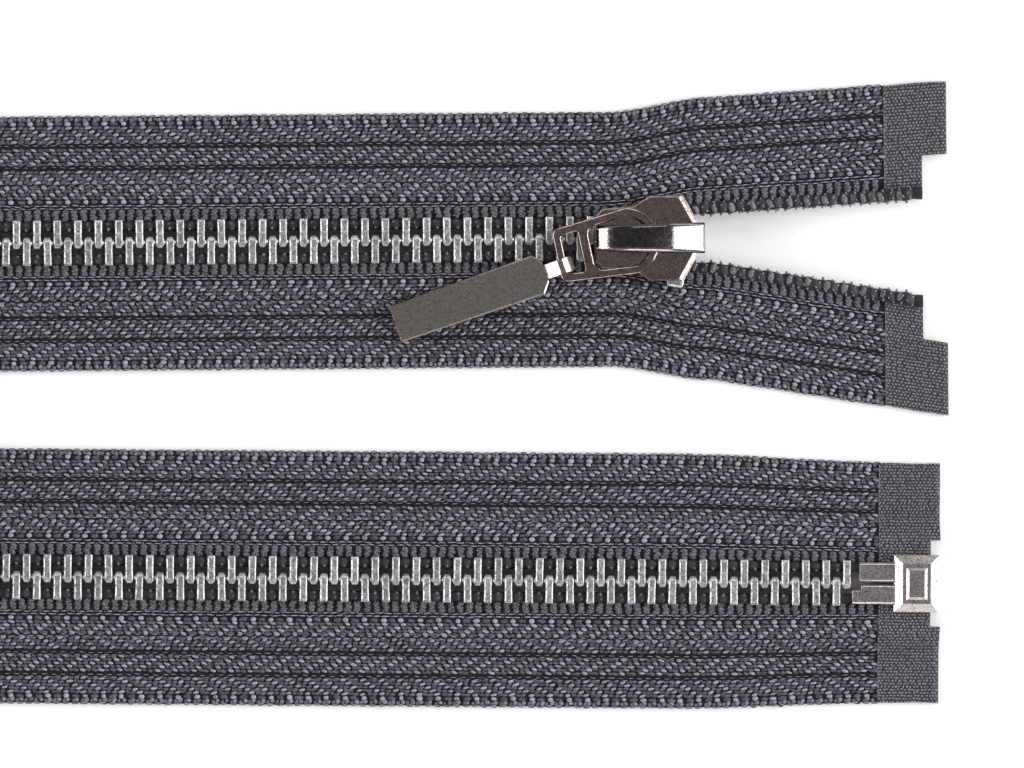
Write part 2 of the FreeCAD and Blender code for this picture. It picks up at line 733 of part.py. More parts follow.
def build_tab():
    """The flat pull tab, with an eyelet round the ring's end bar."""
    body = doc.addObject("PartDesign::Body", "pull_tab")
    half = size("tab_width") / 2
    shoulder = size("tab_shoulder_width") / 2
    start = 2.3
    end = start + 1.0 + size("tab_length")
    low = size("tab_thickness") / 2
    outline = sketch_on(body, "tab_outline", offset=-low)
    draw(outline, [(start, -1.3), (start, 1.3), (start + 1.0, shoulder), (end - 0.25, half),
                   (end - 0.07, half - 0.07, end, half - 0.25), (end, 0.25 - half),
                   (end - 0.07, 0.07 - half, end - 0.25, -half), (start + 1.0, -shoulder)])
    extrude(body, "Pad", outline, "Sizes.tab_thickness")
    neck = sketch_on(body, "neck_profile", "XZ_Plane")
    draw(neck, [(start + 0.1, -low), (start + 0.1, 0.25), (0.35, 1.4), (-0.3, 1.4), (-0.9, 1.0), (-1.33, 0.3),
                (-1.33, -0.3), (-0.9, -1.0), (0.0, -1.35), (0.9, -1.0), (1.3, -low)])
    extrude(body, "Pad", neck, "Sizes.eyelet_width", symmetric=True)
    hole = sketch_on(body, "eyelet_hole", "XZ_Plane")
    hole.addGeometry(Part.Circle(Vector(0, 0, 0), Z, size("eyelet_hole_radius")), False)
    hole.addConstraint(Sketcher.Constraint("Coincident", 0, 3, -1, 1))
    hole.addConstraint(Sketcher.Constraint("Radius", 0, size("eyelet_hole_radius")))
    hole.setExpression("Constraints[1]", "Sizes.eyelet_hole_radius")
    extrude(body, "Pocket", hole, "4", symmetric=True)

    def flat_edge(box):
        level = box.ZLength < LEVEL and abs(abs(box.ZMin) - low) < LEVEL
        return level and box.XMax > start + 0.5

    dress(body, "Chamfer", "tab_bevel", flat_edge, 0.18)
    body.Placement = TAB_FRAME
    return keep("pull_tab", body)


# ---------------------------------------------------------------- stops, films, bottom end
def build_top_stops():
    """A crimped clip over each cord at the slider's mouth, which the slider's rims meet."""
    start = size("stop_start")
    middle = start + size("stop_length") / 2
    for name, side in (("left", LEFT), ("right", RIGHT)):
        out = tape_spread(side, middle)
        slope = (tape_spread(side, middle + 0.1) - tape_spread(side, middle - 0.1)) / 0.2
        length = size("stop_length")
        centre = size("cord_centre")
        inner = size("stop_inner") - centre
        outer = size("left_stop_outer" if side == LEFT else "right_stop_outer") - centre
        clip = corner_box(-length / 2, length / 2, inner, outer, -1.25, 1.25)
        bore = Part.makeCylinder(0.8, length + 2, Vector(-length / 2 - 1, 0, 0), Vector(1, 0, 0))
        slit = corner_box(-length, length, 0, 6, -0.36, 0.36)
        clip = clip.makeChamfer(0.3, [e for e in clip.Edges if e.BoundBox.XLength > 1])
        clip = clip.cut(bore).cut(slit)
        spin = Rotation(Z, math.degrees(math.atan(side * slope)))
        flip = Rotation(Vector(1, 0, 0), 0 if side == LEFT else 180)
        local = Placement(Vector(middle, side * (out + centre), CHAIN_Z), spin.multiply(flip))
        clip.Placement = UPPER.multiply(local)
        raw(f"{name}_top_stop", clip)


def film_section(section):
    """A thin layer on the front of a tape section."""
    front = section[4:]
    thick = size("film_thickness")
    return [(u, v + thick) for u, v in reversed(front)] + front


def build_films():
    """Stiff transparent film welded on the front of the tapes at all four cut ends."""
    for name, side in (("left", LEFT), ("right", RIGHT)):
        end = size("top_outer_end")
        rows = []
        for station in (size("top_film_start"), 48.0, size("top_inner_end"), end):
            outline = film_section(tape_section(opening_relax(station)))
            rows.append(across(arm_frame(1, station), side, outline, tape_spread(side, station)))
        film = solid_from(ribbon(rows))
        out = tape_spread(side, size("top_inner_end"))
        low, high = sorted((side * (out - 1), side * (6.8 + out)))
        cut = corner_box(size("top_inner_end"), 60, low, high, -1, 9)
        raw(f"{name}_top_film", film.cut(on_arm(UPPER, cut)).Solids[0])
        outline = [p for p in film_section(tape_section())]
        start = size("bottom_film_start")
        film = flat_run(-1, side, outline, start, size("bottom_end"))
        low, high = sorted((0.0, side * -3.8))
        beside_box = corner_box(size("box_start") - 0.1, 60, low, high, -1, 9)
        low, high = sorted((0.0, side * -5.7))
        notch = corner_box(52.3, 60, low, high, -1, 9)
        film = film.cut(on_arm(LOWER, beside_box)).cut(on_arm(LOWER, notch))
        raw(f"{name}_bottom_film", film.Solids[0])


def pin_solid(side, start):
    """A pin crimped on a cord's end. Its inner side lies near the centre line."""
    half = size("pin_half_height")
    edge = 0.16
    pin = corner_box(start, 52.0, edge, 2.62, CHAIN_Z - half, CHAIN_Z + half)
    pin = pin.makeChamfer(0.25, [e for e in pin.Edges if e.BoundBox.XLength > 1])
    centre = size("cord_centre")
    bore = Part.makeCylinder(0.76, 20, Vector(start - 5, centre, CHAIN_Z), Vector(1, 0, 0))
    slit = corner_box(start - 1, 60, centre, 4, CHAIN_Z - 0.31, CHAIN_Z + 0.31)
    pin = pin.cut(bore).cut(slit)
    if side == LEFT:
        pin = pin.cut(corner_box(start - 1, start + 1.1, 0, 0.95, -1, 6))
        pin = pin.mirror(Vector(0, 0, 0), Vector(0, 1, 0))
    return pin


def build_bottom_end():
    """The retainer box, the pin fixed in it and the insertion pin that can leave it."""
    for label, side, start in (("insertion_pin", RIGHT, 43.4), ("box_pin", LEFT, 42.5)):
        raw(label, on_arm(LOWER, pin_solid(side, start)))
    body = doc.addObject("PartDesign::Body", "retainer_box")
    x0 = size("box_start")
    x1 = x0 + size("box_length")
    half = size("box_half_width")
    low = CHAIN_Z - size("box_thickness") / 2
    outline = sketch_on(body, "box_outline", offset=low)
    draw(outline, [(x0, -half), (x0, half), (x1, half), (x1, -half)])
    extrude(body, "Pad", outline, "Sizes.box_thickness")
    top = low + size("box_thickness")

    def front_rim(box):
        return box.ZLength < LEVEL and abs(box.ZMin - top) < LEVEL

    dress(body, "Chamfer", "box_bevel", front_rim, 1.05)
    panel = sketch_on(body, "raised_panel", offset=top)
    mid = (x0 + x1) / 2
    draw(panel, [(mid - 1.3, -2.0), (mid - 1.3, 2.0), (mid + 1.3, 2.0), (mid + 1.3, -2.0)])
    extrude(body, "Pad", panel, "Sizes.panel_height")
    top += size("panel_height")
    dress(body, "Chamfer", "panel_bevel", front_rim, 0.34)
    sockets = sketch_on(body, "pin_sockets", offset=CHAIN_Z - size("pin_half_height") - 0.04)
    draw(sockets, [(x0 - 1, 0.1), (x0 - 1, 2.7), (52.1, 2.7), (52.1, 0.1)])
    draw(sockets, [(x0 - 1, -2.7), (x0 - 1, -0.1), (52.1, -0.1), (52.1, -2.7)])
    extrude(body, "Pocket", sockets, "2 * Sizes.pin_half_height + 0.08", reverse=True)
    slits = sketch_on(body, "tape_slits", offset=CHAIN_Z - 0.32)
    draw(slits, [(x0 - 1, 2.6), (x0 - 1, 5), (52.4, 5), (52.4, 2.6)])
    draw(slits, [(x0 - 1, -5), (x0 - 1, -2.6), (52.4, -2.6), (52.4, -5)])
    extrude(body, "Pocket", slits, "0.64", reverse=True)
    body.Placement = LOWER
    keep("retainer_box", body)


# ---------------------------------------------------------------- build, check and write
def main():
    build_tapes()
    tooth = tooth_body()
    build_teeth(tooth)
    build_slider()
    build_cap()
    build_lock()
    build_ring()
    build_tab()
    build_top_stops()
    build_films()
    build_bottom_end()
    doc.recompute()
    for item in doc.Objects:
        if "Invalid" in item.State or "Error" in item.State:
            raise RuntimeError(f"{item.Label} did not recompute: {item.State}")
    for label, feature in pieces.items():
        shape = feature.Shape
        if shape.isNull() or not shape.isValid():
            raise RuntimeError(f"{label} has no valid shape")
    os.makedirs("parts", exist_ok=True)
    for label, feature in pieces.items():
        feature.Shape.exportStep(os.path.join("parts", label + ".step"))
        print(label, "solids", len(feature.Shape.Solids), "volume", round(feature.Shape.Volume, 3))
    whole = Part.makeCompound([f.Shape for f in pieces.values()]).BoundBox
    print("box", [round(v, 2) for v in (whole.XMin, whole.XMax, whole.YMin, whole.YMax, whole.ZMin, whole.ZMax)])
    length = CHAIN[-1][0] + size("top_outer_end") - size("spread_end") + size("bottom_end") - LOWER_START
    print("tape length", round(length, 1), "turn radius", round(TURN_RADIUS, 2))
    print("ring frame", RING_FRAME.Base, RING_FRAME.Rotation.multVec(Vector(0, 1, 0)))
    print("tab frame", TAB_FRAME.Base, TAB_FRAME.Rotation.multVec(Vector(0, 1, 0)))
    print("slide axis", UPPER.Rotation.multVec(Vector(-1, 0, 0)), UPPER.Rotation.multVec(Vector(0, 1, 0)))


main()
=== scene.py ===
import json
import math

import bmesh
import bpy
import numpy as np
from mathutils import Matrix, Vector
from mathutils.geometry import tessellate_polygon


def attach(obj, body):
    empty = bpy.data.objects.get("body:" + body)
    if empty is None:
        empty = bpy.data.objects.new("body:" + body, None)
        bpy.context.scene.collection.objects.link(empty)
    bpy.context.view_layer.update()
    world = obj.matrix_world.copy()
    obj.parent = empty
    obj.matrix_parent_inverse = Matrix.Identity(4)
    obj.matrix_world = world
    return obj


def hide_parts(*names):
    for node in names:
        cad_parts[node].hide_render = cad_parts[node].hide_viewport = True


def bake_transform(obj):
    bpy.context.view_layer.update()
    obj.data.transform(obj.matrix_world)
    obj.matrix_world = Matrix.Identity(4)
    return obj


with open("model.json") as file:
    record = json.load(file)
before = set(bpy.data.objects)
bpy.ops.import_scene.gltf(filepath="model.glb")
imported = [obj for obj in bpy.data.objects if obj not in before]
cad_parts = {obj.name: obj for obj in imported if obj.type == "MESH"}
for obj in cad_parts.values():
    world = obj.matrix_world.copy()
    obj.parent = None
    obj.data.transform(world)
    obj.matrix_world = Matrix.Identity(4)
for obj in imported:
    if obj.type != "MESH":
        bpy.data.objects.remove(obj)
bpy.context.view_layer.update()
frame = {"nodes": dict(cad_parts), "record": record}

# The looks of an open-end metal zipper laid in a U.
# Lengths are in millimetres until a mesh is written in metres.
# Along the tape, s is the station on the upper arm. The standing turn, then the lower arm, follow below TURN.
# Across it, u is the distance from the chain's centre line, and h is the height over the woven surface.

MM = 0.001
SEED = 7
rng = np.random.default_rng(SEED)
LEFT, RIGHT = 1, -1
SIDES = (("left", LEFT), ("right", RIGHT))

# ------------------------------------------------------------------ sizes, as in the CAD
ARM_X, ARM_Y, ARM_SPREAD = 60.0, -1.75, 21.28  # where station 0 lies, and how far each arm is from the middle
TILT = math.radians(0.45)
REACH, TWIST = 80.0, 70.0  # how far the flat arm goes below station 0, and the length of its twist
TURN = -(REACH + TWIST)
HALF_WIDTH = 16.1
THICK = 0.45
SLOPE_START, SLOPE_END = 5.7, 8.7  # the tape slopes down here from the chain to its sewing strip
CHAIN_Z = 2.3
PITCH = 2.56
CORD_U = 2.05
SPREAD_START, SPREAD_END, ROW_SPREAD = 12.0, 25.0, 1.75
END_SPREAD = {LEFT: 1.9, RIGHT: 4.8}
TOP_FILM, TOP_INNER, TOP_END = 46.6, 51.4, 54.5  # stations of the film, the notch and the tape's end
LOW_FILM, LOW_INNER, LOW_END = 45.8, 52.3, 53.5
NOTCH_TOP, NOTCH_LOW = 6.8, 5.7
BOX_START, LAST_TOOTH, CORD_END = 47.7, 41.8, 51.9
LAST_TOOTH_TOP = 18.7

# ------------------------------------------------------------------ sizes of the visual model alone
CLOTH_NEAR, CLOTH_FAR = 2.75, 15.85  # edges of the ground cloth
OPENING_START, OPENING_END = -35.1, -13.1  # with the slider down, the rows bend apart between these stations
ROLLED = -104.0  # station from which the tape's floor side has come off the floor
FILM_HIGH, FILM_LOW = 0.14, 0.06
WEAVE = 1.165  # pitch of the warp yarns along the tape
NUDGE = 0.05  # step for slopes and directions


def smooth(value):
    """Eased step from 0 to 1."""
    value = np.clip(value, 0.0, 1.0)
    return value * value * (3 - 2 * value)


def arm_roll(x):
    """Angle by which the tape has twisted up on edge."""
    return math.pi / 2 * smooth((-REACH - x) / TWIST)


def arm_base(arm, x):
    """Points of the centre line at stations of the upper (+1) or the lower (-1) arm."""
    x = np.asarray(x, float)
    base = np.empty((len(x), 3))
    base[:, 0] = ARM_X + x * math.cos(TILT)
    base[:, 1] = ARM_Y + arm * (ARM_SPREAD + x * math.sin(TILT))
    base[:, 2] = HALF_WIDTH * np.sin(arm_roll(x))
    return base


turn_tangent = arm_base(1, [TURN])[0]
RADIUS = (turn_tangent[1] - ARM_Y) / math.cos(TILT)
CENTRE = np.array([turn_tangent[0] + RADIUS * math.sin(TILT), ARM_Y, HALF_WIDTH])
ANGLE = math.pi - 2 * TILT
LENGTH = RADIUS * ANGLE


def low(station):
    """s of a station on the lower arm, and the station of an s on it."""
    return 2 * TURN - LENGTH - station


def unit(v):
    return v / np.linalg.norm(v, axis=1, keepdims=True)


def frames(s):
    """Base point, direction towards the top end, left and front at each s."""
    s = np.asarray(s, float)
    base, along, front = (np.zeros((len(s), 3)) for _ in range(3))
    for arm, mask in ((1, s >= TURN), (-1, s <= TURN - LENGTH)):
        x = s[mask] if arm > 0 else low(s[mask])
        base[mask] = arm_base(arm, x)
        run = unit((arm_base(arm, x + NUDGE) - arm_base(arm, x - NUDGE)) * arm)
        level = np.array([arm * math.cos(TILT), math.sin(TILT), 0.0])
        outward = np.cross([0, 0, 1.0], level)
        roll = arm_roll(x)[:, None]
        face = np.array([0, 0, 1.0]) * np.cos(roll) + outward * np.sin(roll)
        face = face - run * (face * run).sum(1)[:, None]
        along[mask], front[mask] = run, unit(face)
    mask = (s < TURN) & (s > TURN - LENGTH)
    heading = -math.pi / 2 + TILT - (ANGLE - (TURN - s[mask]) / RADIUS)
    front[mask] = np.stack([np.cos(heading), np.sin(heading), 0 * heading], 1)
    along[mask] = np.stack([np.sin(heading), -np.cos(heading), 0 * heading], 1)
    base[mask] = CENTRE + front[mask] * RADIUS
    return base, along, np.cross(front, along), front


def spread(s):
    """Distance by which the slider has drawn a row of teeth aside."""
    return ROW_SPREAD * smooth((s - SPREAD_START) / (SPREAD_END - SPREAD_START))


def tape_spread(side, s):
    """Distance by which a tape's free end is drawn aside."""
    return spread(s) + END_SPREAD[side] * np.clip((s - SPREAD_END) / (TOP_END - SPREAD_END), 0, 1)


RELAX_START, RELAX_LENGTH = 26.0, 22.0
PINCH_START, PINCH_LENGTH, PINCH = 20.0, 28.0, 0.055


def relax(s):
    """How far the free end has sunk from the chain's height to the floor."""
    return smooth((s - RELAX_START) / RELAX_LENGTH)


def pinch(s):
    """Share of its width that a tape keeps: the film has shrunk it towards the retainer box."""
    return 1 - PINCH * smooth((low(PINCH_START) - s) / PINCH_LENGTH)


def raw_point(side, s, u, v):
    """Points at a distance u from the centre line and v in front of the floor side."""
    s = np.asarray(s, float).ravel()
    base, _, left, front = frames(s)
    reach = (np.ravel(u) * pinch(s) + tape_spread(side, s))[:, None]
    return base + left * (side * reach) + front * np.ravel(v)[:, None]


FREE_LIFT = 0.35  # height of the inner strip over the sewing strip at the free end
SLOPE_GROWTH = 0.35  # how much wider the slope gets for each millimetre that the inner strip sinks
FREE_CORD_Z = 0.75


def woven_height(s, u):
    """Height of the woven surface: raised along the chain, flat for sewing further out."""
    lifted = (CHAIN_Z - THICK / 2) * (1 - relax(s)) + FREE_LIFT * relax(s)
    end = SLOPE_END + (CHAIN_Z - THICK / 2 - lifted) * SLOPE_GROWTH
    return THICK + lifted * (1 - smooth((u - SLOPE_START) / (end - SLOPE_START)))


def on_tape(side):
    """Mapping of (s, u, h) to points on one tape's front."""

    def place(s, u, h):
        slope = (woven_height(s, u + NUDGE) - woven_height(s, u - NUDGE)) / (2 * NUDGE)
        long = np.sqrt(1 + slope * slope)
        return raw_point(side, s, u - h * slope / long, woven_height(s, u) + h / long)

    return place


def on_tape_back(side):
    """The same on its back, where h counts away from the tape."""
    front = on_tape(side)
    return lambda s, u, h: front(s, u, -THICK - h)


CORD_RADIUS, FREE_THICKER = 0.62, 0.16
FREE_START, FREE_FADE = 21.0, 5.0


def cord_radius(s):
    """Even between the teeth, thicker and lumpy where the cord is free."""
    lumps = 0.09 * np.sin(2 * math.pi * s / 2.43) + 0.05 * np.sin(2 * math.pi * s / 1.37 + 1)
    return CORD_RADIUS + (FREE_THICKER + lumps) * smooth((s - FREE_START) / FREE_FADE)


def on_cord(side):
    """Mapping on the cord, with t counted round it from its front."""

    def place(s, t, h):
        radius = cord_radius(s)
        angle = t / radius
        height = CHAIN_Z * (1 - relax(s)) + FREE_CORD_Z * relax(s)
        reach = CORD_U + (radius + h) * np.sin(angle)
        return raw_point(side, s, reach, height + (radius + h) * np.cos(angle))

    return place


# ------------------------------------------------------------------ meshes
def new_object(name, points, tris, quads, material, shade=None, smooth_faces=True):
    """A mesh object from arrays, with a tone for each point if shade is given."""
    mesh = bpy.data.meshes.new(name)
    tris = np.asarray(tris, np.int32).reshape(-1, 3)
    quads = np.asarray(quads, np.int32).reshape(-1, 4)
    loops = np.concatenate([tris.ravel(), quads.ravel()])
    starts = np.concatenate([np.arange(len(tris)) * 3, len(tris) * 3 + np.arange(len(quads)) * 4])
    mesh.vertices.add(len(points))
    mesh.vertices.foreach_set("co", (np.asarray(points) * MM).astype(np.float32).ravel())
    mesh.loops.add(len(loops))
    mesh.loops.foreach_set("vertex_index", loops.astype(np.int32))
    mesh.polygons.add(len(starts))
    mesh.polygons.foreach_set("loop_start", starts.astype(np.int32))
    mesh.update(calc_edges=True)
    mesh.validate()
    mesh.polygons.foreach_set("use_smooth", np.full(len(mesh.polygons), smooth_faces))
    if shade is not None:
        attribute = mesh.attributes.new("shade", "FLOAT", "POINT")
        attribute.data.foreach_set("value", np.asarray(shade, np.float32))
    mesh.materials.append(material)
    obj = bpy.data.objects.new(name, mesh)
    bpy.context.scene.collection.objects.link(obj)
    return obj


def tube(rows, around):
    """The quads between rings of points, each ring the same number of points after the last."""
    low_ring, j = np.meshgrid(np.arange(rows - 1) * around, np.arange(around), indexing="ij")
    k = (j + 1) % around
    high_ring = low_ring + around
    return np.stack([low_ring + j, low_ring + k, high_ring + k, high_ring + j], 2).reshape(-1, 4)


SEGMENTS = 8
RINGS = ((0.6, 0.8), (1.0, -0.15))  # radius and height of a float's rings, as shares of its own


class Yarns:
    """Collects short yarn floats, each a low dome laid on a mapping, into one mesh."""

    def __init__(self, place, flip):
        self.place, self.flip = place, flip
        self.rows = []

    def add(self, s, u, length, width, height, tilt=0.0, shade=0.5, jitter=0.06):
        s = np.asarray(s, float)
        count = len(s)

        def varied(value, share):
            return value * (1 + rng.normal(0, share, count))

        columns = [
            u + rng.normal(0, jitter * 0.5, count),
            varied(length, 0.09),
            varied(width, 0.09),
            varied(height, 0.12),
            tilt + rng.normal(0, 0.09, count),
            varied(shade, 0.16),
        ]
        self.rows.append(np.stack([s + rng.normal(0, jitter, count), *columns], 1))

    def mesh(self, name, material):
        rows = np.concatenate(self.rows)
        turn = 2 * math.pi * np.arange(SEGMENTS) / SEGMENTS
        unit_s, unit_u, unit_h = [0.0], [0.0], [1.0]
        for radius, height in RINGS:
            unit_s += list(radius * np.cos(turn))
            unit_u += list(radius * np.sin(turn))
            unit_h += [height] * SEGMENTS
        unit_s, unit_u, unit_h = map(np.array, (unit_s, unit_u, unit_h))
        s0, u0, length, width, height, tilt, shade = (rows[:, i:i + 1] for i in range(7))
        ds, du = unit_s * length, unit_u * width
        s = s0 + ds * np.cos(tilt) - du * np.sin(tilt)
        u = u0 + ds * np.sin(tilt) + du * np.cos(tilt)
        h = unit_h * height
        points = self.place(s.ravel(), u.ravel(), h.ravel())
        ring = np.arange(SEGMENTS)
        after = (ring + 1) % SEGMENTS
        tris = np.stack([0 * ring, 1 + ring, 1 + after], 1)
        quads = np.stack([1 + ring, 1 + SEGMENTS + ring, 1 + SEGMENTS + after, 1 + after], 1)
        if self.flip:
            tris, quads = tris[:, ::-1], quads[:, ::-1]
        offset = (np.arange(len(rows)) * len(unit_s))[:, None, None]
        tone = np.repeat(np.clip(shade, 0.02, 1.3), len(unit_s), 1)
        # Painted shade: each float is darker at its foot and lighter on its top.
        tone = tone * (0.78 + 0.3 * np.clip(unit_h, 0, 1))
        tris, quads = (tris + offset).reshape(-1, 3), (quads + offset).reshape(-1, 4)
        return new_object(name, points, tris, quads, material, tone.ravel())


# ------------------------------------------------------------------ materials
def nodes_of(name):
    material = bpy.data.materials.new(name)
    material.use_nodes = True
    tree = material.node_tree
    shader = tree.nodes["Principled BSDF"]
    return material, tree, shader


def add(tree, kind, **values):
    """A node with the given inputs and settings."""
    node = tree.nodes.new(kind)
    for key, value in values.items():
        if key in node.inputs:
            node.inputs[key].default_value = value
        else:
            setattr(node, key, value)
    return node


def noise(tree, scale, detail):
    """Noise in object space, scale in features per metre."""
    where = add(tree, "ShaderNodeTexCoord")
    node = add(tree, "ShaderNodeTexNoise", Scale=scale, Detail=detail, Roughness=0.6)
    tree.links.new(where.outputs["Object"], node.inputs["Vector"])
    return node.outputs["Fac"]


def ramp(tree, source, low_value, high_value, low_at=0.3, high_at=0.7):
    """Source stretched from one range to another, without going past its ends."""
    node = add(tree, "ShaderNodeMapRange")
    node.inputs["From Min"].default_value = low_at
    node.inputs["From Max"].default_value = high_at
    node.inputs["To Min"].default_value = low_value
    node.inputs["To Max"].default_value = high_value
    tree.links.new(source, node.inputs["Value"])
    return node.outputs["Result"]


def blend_colours(tree, source, dark, light):
    """From dark to light as the source goes from 0 to 1."""
    node = add(tree, "ShaderNodeMix", data_type="RGBA", blend_type="MIX")
    node.inputs[6].default_value = (*dark, 1)
    node.inputs[7].default_value = (*light, 1)
    tree.links.new(source, node.inputs["Factor"])
    return node.outputs[2]


def multiply(tree, one, two):
    node = add(tree, "ShaderNodeMath", operation="MULTIPLY")
    tree.links.new(one, node.inputs[0])
    tree.links.new(two, node.inputs[1])
    return node.outputs[0]


def bump(tree, shader, source, distance, strength):
    node = add(tree, "ShaderNodeBump", Strength=strength, Distance=distance)
    tree.links.new(source, node.inputs["Height"])
    tree.links.new(node.outputs["Normal"], shader.inputs["Normal"])


def yarn_material(name, dark, light, rough, sheen):
    """Polyester yarn: a tone per float, with fine fibres along it."""
    material, tree, shader = nodes_of(name)
    tone = add(tree, "ShaderNodeAttribute", attribute_name="shade").outputs["Fac"]
    fibres = noise(tree, 7500, 5.0)
    factor = multiply(tree, tone, ramp(tree, fibres, 0.30, 1.65, 0.32, 0.68))
    tree.links.new(blend_colours(tree, factor, dark, light), shader.inputs["Base Color"])
    tree.links.new(ramp(tree, fibres, rough - 0.12, rough + 0.15), shader.inputs["Roughness"])
    shader.inputs["Sheen Weight"].default_value = sheen
    shader.inputs["Sheen Roughness"].default_value = 0.4
    shader.inputs["Specular IOR Level"].default_value = 0.25
    bump(tree, shader, noise(tree, 9000, 3.0), 0.00005, 0.6)
    return material


def cloth_material(name, dark, light):
    """Ground of the weave, seen in the gaps between the floats, painted near black as the shade in those
    gaps.
    """
    material, tree, shader = nodes_of(name)
    fine = noise(tree, 4200, 4.0)
    tree.links.new(blend_colours(tree, ramp(tree, fine, 0, 1), dark, light), shader.inputs["Base Color"])
    tree.links.new(ramp(tree, fine, 0.75, 0.95), shader.inputs["Roughness"])
    shader.inputs["Specular IOR Level"].default_value = 0.08
    bump(tree, shader, noise(tree, 3000, 4.0), 0.0001, 0.8)
    return material


def metal_material(name, dark, light, rough, relief=0.00001, shaded=False, metallic=1.0, scale=5000,
                   specks=None):
    """Plated metal: tone clouds, fine rubbed grain, tiny pits and bright specks."""
    material, tree, shader = nodes_of(name)
    shader.inputs["Metallic"].default_value = metallic
    grain = noise(tree, scale, 6.0)
    clouds = noise(tree, scale * 0.25, 3.0)
    factor = multiply(tree, ramp(tree, grain, 0.1, 1.7), ramp(tree, clouds, 0.55, 1.3))
    if shaded:
        # The tone per point holds painted light and shade besides wear and patina: the teeth's rims,
        # undersides and nubs, and the cap's reflections.
        tone = add(tree, "ShaderNodeAttribute", attribute_name="shade").outputs["Fac"]
        factor = multiply(tree, factor, tone)
    colour = blend_colours(tree, factor, dark, light)
    if specks:
        spots = ramp(tree, noise(tree, scale * 0.7, 1.0), 0.0, 1.0, 0.70, 0.76)
        mixed = blend_colours(tree, spots, dark, specks)
        tree.links.new(colour, mixed.node.inputs[6])
        colour = mixed
    tree.links.new(colour, shader.inputs["Base Color"])
    tree.links.new(ramp(tree, grain, rough * 0.75, rough * 1.35), shader.inputs["Roughness"])
    bump(tree, shader, grain, relief, 0.7)
    return material


yarn = yarn_material("tape_yarn", (0.006, 0.005, 0.009), (0.32, 0.31, 0.37), 0.6, 0.03)
cord_yarn = yarn_material("cord_yarn", (0.005, 0.004, 0.007), (0.30, 0.292, 0.335), 0.7, 0.03)
# The ground's near-black colour is painted shade between the floats.
ground = cloth_material("tape_ground_painted_shade", (0.003, 0.003, 0.005), (0.030, 0.028, 0.038))
nickel = metal_material("tumbled_nickel", (0.10, 0.098, 0.10), (0.62, 0.61, 0.61), 0.33, 0.00006,
                        shaded=True, metallic=0.75, scale=5200)
gunmetal = metal_material("black_nickel", (0.045, 0.034, 0.032), (0.36, 0.29, 0.27), 0.12,
                          specks=(0.8, 0.74, 0.7))
lacquer = metal_material("polished_black_nickel", (0.03, 0.025, 0.026), (0.46, 0.42, 0.41), 0.10, shaded=True)
# A paler black nickel for the pins and the retainer box.
pale = metal_material("pale_black_nickel", (0.17, 0.14, 0.14), (0.80, 0.73, 0.73), 0.16,
                      specks=(0.9, 0.88, 0.88))
brushed = metal_material("brushed_black_nickel", (0.15, 0.12, 0.115), (0.46, 0.40, 0.385), 0.25, 0.00003,
                         scale=7000, specks=(0.95, 0.9, 0.88))
steel = metal_material("spring_steel", (0.3, 0.3, 0.29), (0.72, 0.72, 0.71), 0.25)


# ------------------------------------------------------------------ woven tapes
S_BACK_END = low(LOW_END)
GROUND_HIGH, GROUND_LOW = -0.06, -0.41  # the ground's two faces, under the yarn floats
CLOTH_STEP, CLOTH_COLUMNS = 0.9, 25
RUFFLE, RUFFLE_FROM = 0.05, 14.0


def cloth(name, side, start, end, material, front_h=GROUND_HIGH, back_h=GROUND_LOW):
    """A closed thin sheet on a stretch of tape, with its notched corner."""
    columns = np.linspace(CLOTH_NEAR, CLOTH_FAR, CLOTH_COLUMNS)
    columns = np.unique(np.concatenate([columns, [NOTCH_TOP, NOTCH_LOW]]))
    rows = [start, end, TOP_INNER, low(LOW_INNER)]
    rows = [r for r in rows if start <= r <= end] + list(np.arange(start, end, CLOTH_STEP)[1:])
    rows = np.unique(np.round(rows, 4))
    grid_s, grid_u = np.meshgrid(rows, columns, indexing="ij")
    ruffled_u = grid_u + RUFFLE * np.sin(grid_s * 0.9) * (grid_u > RUFFLE_FROM)
    place = on_tape(side)
    front, back = (
        place(grid_s.ravel(), ruffled_u.ravel(), np.full(grid_s.size, h)) for h in (front_h, back_h)
    )
    wide = len(columns)
    half = len(front)

    def present(i, j):
        if not (0 <= i < len(rows) - 1 and 0 <= j < wide - 1):
            return False
        s, u = (rows[i] + rows[i + 1]) / 2, (columns[j] + columns[j + 1]) / 2
        top_notch = s > TOP_INNER and u < NOTCH_TOP
        return not (top_notch or (s < low(LOW_INNER) and u < NOTCH_LOW))

    quads = []
    for i in range(len(rows) - 1):
        for j in range(wide - 1):
            if not present(i, j):
                continue
            a, b, c, d = i * wide + j, (i + 1) * wide + j, (i + 1) * wide + j + 1, i * wide + j + 1
            quads.append((a, b, c, d))
            quads.append((d + half, c + half, b + half, a + half))
            for p, q, ni, nj in ((a, b, i, j - 1), (b, c, i + 1, j), (c, d, i, j + 1), (d, a, i - 1, j)):
                if not present(ni, nj):
                    quads.append((q, p, p + half, q + half))
    quads = np.array(quads)
    if side == RIGHT:
        quads = quads[:, ::-1]
    return new_object(name, np.concatenate([front, back]), [], quads, material)


# Bands of the herringbone: first and last row's distance from the centre line, and the way the rows step.
BANDS = ((5.62, 6.95, 1), (7.62, 9.30, -1), (9.95, 12.05, 1), (12.72, 14.42, -1))
ROW = 0.425
STEP = 0.62
LEAN = -0.24
BAND_PHASE = 1.7
BOLD_ROWS = (5.12, 14.95)
DIVIDERS = (7.28, 9.62, 12.38)
CATCH_LINES = (4.26, 4.62)
RIB_PHASE = 0.1

